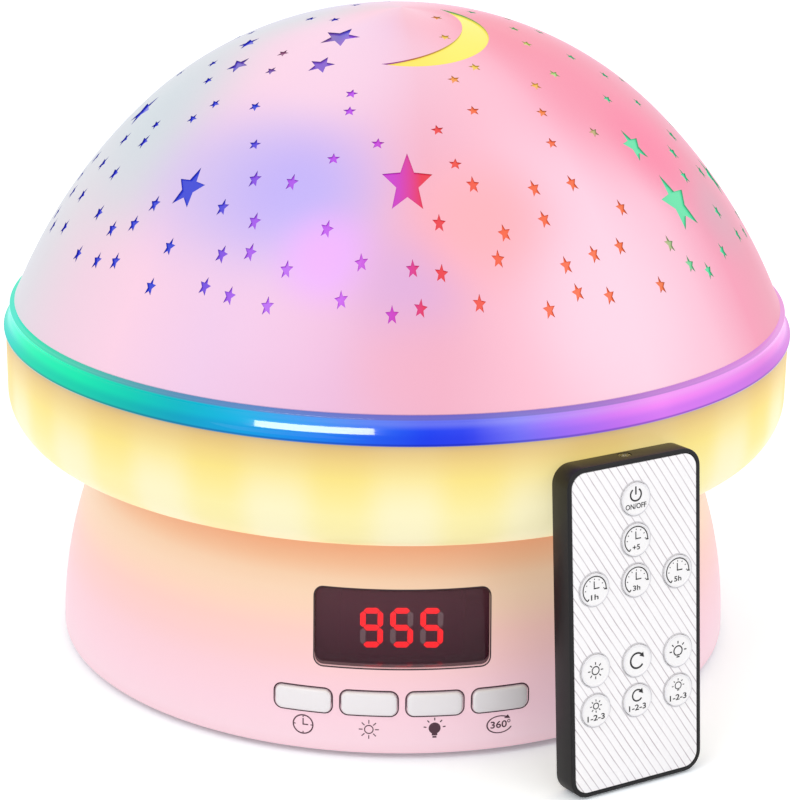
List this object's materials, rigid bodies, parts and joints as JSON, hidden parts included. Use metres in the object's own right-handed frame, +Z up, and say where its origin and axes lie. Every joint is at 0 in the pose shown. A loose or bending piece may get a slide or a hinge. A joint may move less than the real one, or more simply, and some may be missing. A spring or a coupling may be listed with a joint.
{
  "type": "star night light projector",
  "caption": "Rotating star night light: pierced dome on a geared turntable, light ring, diffuser, timer display and keys, with a card remote.",
  "frame": {"origin": "centre of the foot ring's resting face, on the dome's turning axis", "axes": "+Z up along the dome's turning axis, -Y towards the front with the display, +X to the right seen from the front"},
  "size_m": [0.2, 0.2079, 0.1625],
  "materials": {
    "foot_rubber": "matt moulded rubber",
    "cover_plastic": "pink moulded plastic, fine spark texture",
    "cell_sleeve": "plain printed cell sleeve",
    "plated_metal": "bright nickel plate",
    "screw_steel": "zinc-plated steel",
    "base_plastic": "satin pink moulded plastic",
    "smoked_lens": "smoked clear plastic",
    "display_plastic": "moulded segment display",
    "circuit_board": "green solder mask",
    "black_plastic": "matt black plastic",
    "key_plastic": "white moulded key",
    "frame_plastic": "white moulded frame",
    "warm_diffuser": "milky diffuser lit from inside",
    "led_package": "white board with light-emitting diodes",
    "light_guide": "glossy light guide lit in a run of colours",
    "motor_steel": "drawn steel can and ground shaft",
    "gear_brass": "hobbed brass",
    "turntable_plastic": "natural acetal",
    "dome_plastic": "glossy pale pink shell with light glowing through",
    "clear_liner": "clear moulded liner",
    "led_lens": "clear diode lens",
    "remote_black": "black moulded shell",
    "remote_white": "white face with fine slanting lines",
    "pad_plastic": "white round key with a raised rim"
  },
  "bodies": {
    "base": {"foot_ring": "foot_rubber", "bottom_cover": "cover_plastic", "aa_cells": "cell_sleeve", "battery_contacts": "plated_metal", "cover_screws": "screw_steel", "base_housing": "base_plastic", "display_lens": "smoked_lens", "display_module": "display_plastic", "front_board": "circuit_board", "tact_switches": "black_plastic", "ir_receiver": "black_plastic", "power_port": "plated_metal", "power_board": "circuit_board", "inner_frame": "frame_plastic", "frame_screws": "screw_steel", "diffuser": "warm_diffuser", "warm_led_strip": "led_package", "light_ring": "light_guide", "ring_led_board": "led_package", "drive_motor": "motor_steel", "thrust_washer": "turntable_plastic", "retaining_ring": "screw_steel", "star_led_board": "led_package", "star_leds": "led_lens"},
    "dome": {"turntable": "turntable_plastic", "dome_screws": "screw_steel", "star_dome": "dome_plastic", "star_liner": "clear_liner"},
    "pinion": {"motor_shaft": "motor_steel", "drive_pinion": "gear_brass"},
    "timer_key": {"timer_key": "key_plastic"},
    "warm_key": {"warm_key": "key_plastic"},
    "colour_key": {"colour_key": "key_plastic"},
    "turn_key": {"turn_key": "key_plastic"},
    "battery_door": {"battery_door": "cover_plastic"},
    "remote": {"remote_shell": "remote_black", "remote_face": "remote_white", "remote_board": "circuit_board", "remote_led": "led_lens"},
    "coin_tray": {"coin_tray": "remote_black", "coin_cell": "plated_metal"},
    "pad_power": {"pad_power": "pad_plastic"},
    "pad_add_5": {"pad_add_5": "pad_plastic"},
    "pad_1h": {"pad_1h": "pad_plastic"},
    "pad_3h": {"pad_3h": "pad_plastic"},
    "pad_5h": {"pad_5h": "pad_plastic"},
    "pad_light": {"pad_light": "pad_plastic"},
    "pad_turn": {"pad_turn": "pad_plastic"},
    "pad_colour": {"pad_colour": "pad_plastic"},
    "pad_light_123": {"pad_light_123": "pad_plastic"},
    "pad_turn_123": {"pad_turn_123": "pad_plastic"},
    "pad_colour_123": {"pad_colour_123": "pad_plastic"}
  },
  "joints": [
    {"name": "dome_spin", "type": "hinge", "parent": "base", "child": "dome", "pos_m": [0, 0, 0.09], "axis": [0, 0, 1], "continuous": true},
    {"name": "pinion_spin", "type": "hinge", "parent": "base", "child": "pinion", "pos_m": [0, 0.04, 0.08], "axis": [0, 0, 1], "continuous": true},
    {"name": "timer_press", "type": "slide", "parent": "base", "child": "timer_key", "axis": [0, 1, 0], "range_m": [0, 0.0008], "stiffness_N_per_m": 400},
    {"name": "warm_press", "type": "slide", "parent": "base", "child": "warm_key", "axis": [0, 1, 0], "range_m": [0, 0.0008], "stiffness_N_per_m": 400},
    {"name": "colour_press", "type": "slide", "parent": "base", "child": "colour_key", "axis": [0, 1, 0], "range_m": [0, 0.0008], "stiffness_N_per_m": 400},
    {"name": "turn_press", "type": "slide", "parent": "base", "child": "turn_key", "axis": [0, 1, 0], "range_m": [0, 0.0008], "stiffness_N_per_m": 400},
    {"name": "battery_door_lift", "type": "slide", "parent": "base", "child": "battery_door", "axis": [0, 0, -1], "range_m": [0, 0.02]},
    {"name": "remote_lift", "type": "slide", "parent": "base", "child": "remote", "axis": [0.2863, -0.5273, 0.8], "range_m": [0, 0.1]},
    {"name": "coin_tray_slide", "type": "slide", "parent": "remote", "child": "coin_tray", "axis": [0.0416, -0.0766, -0.9962], "range_m": [0, 0.022]},
    {"name": "power_press", "type": "slide", "parent": "remote", "child": "pad_power", "axis": [-0.4753, 0.8755, -0.0872], "range_m": [0, 0.0004], "stiffness_N_per_m": 300},
    {"name": "add_5_press", "type": "slide", "parent": "remote", "child": "pad_add_5", "axis": [-0.4753, 0.8755, -0.0872], "range_m": [0, 0.0004], "stiffness_N_per_m": 300},
    {"name": "hour_1_press", "type": "slide", "parent": "remote", "child": "pad_1h", "axis": [-0.4753, 0.8755, -0.0872], "range_m": [0, 0.0004], "stiffness_N_per_m": 300},
    {"name": "hour_3_press", "type": "slide", "parent": "remote", "child": "pad_3h", "axis": [-0.4753, 0.8755, -0.0872], "range_m": [0, 0.0004], "stiffness_N_per_m": 300},
    {"name": "hour_5_press", "type": "slide", "parent": "remote", "child": "pad_5h", "axis": [-0.4753, 0.8755, -0.0872], "range_m": [0, 0.0004], "stiffness_N_per_m": 300},
    {"name": "light_press", "type": "slide", "parent": "remote", "child": "pad_light", "axis": [-0.4753, 0.8755, -0.0872], "range_m": [0, 0.0004], "stiffness_N_per_m": 300},
    {"name": "rotate_press", "type": "slide", "parent": "remote", "child": "pad_turn", "axis": [-0.4753, 0.8755, -0.0872], "range_m": [0, 0.0004], "stiffness_N_per_m": 300},
    {"name": "shade_press", "type": "slide", "parent": "remote", "child": "pad_colour", "axis": [-0.4753, 0.8755, -0.0872], "range_m": [0, 0.0004], "stiffness_N_per_m": 300},
    {"name": "light_123_press", "type": "slide", "parent": "remote", "child": "pad_light_123", "axis": [-0.4753, 0.8755, -0.0872], "range_m": [0, 0.0004], "stiffness_N_per_m": 300},
    {"name": "rotate_123_press", "type": "slide", "parent": "remote", "child": "pad_turn_123", "axis": [-0.4753, 0.8755, -0.0872], "range_m": [0, 0.0004], "stiffness_N_per_m": 300},
    {"name": "shade_123_press", "type": "slide", "parent": "remote", "child": "pad_colour_123", "axis": [-0.4753, 0.8755, -0.0872], "range_m": [0, 0.0004], "stiffness_N_per_m": 300}
  ],
  "couplings": [
    {"joint": "pinion_spin", "follows": "dome_spin", "ratio": 6}
  ]
}
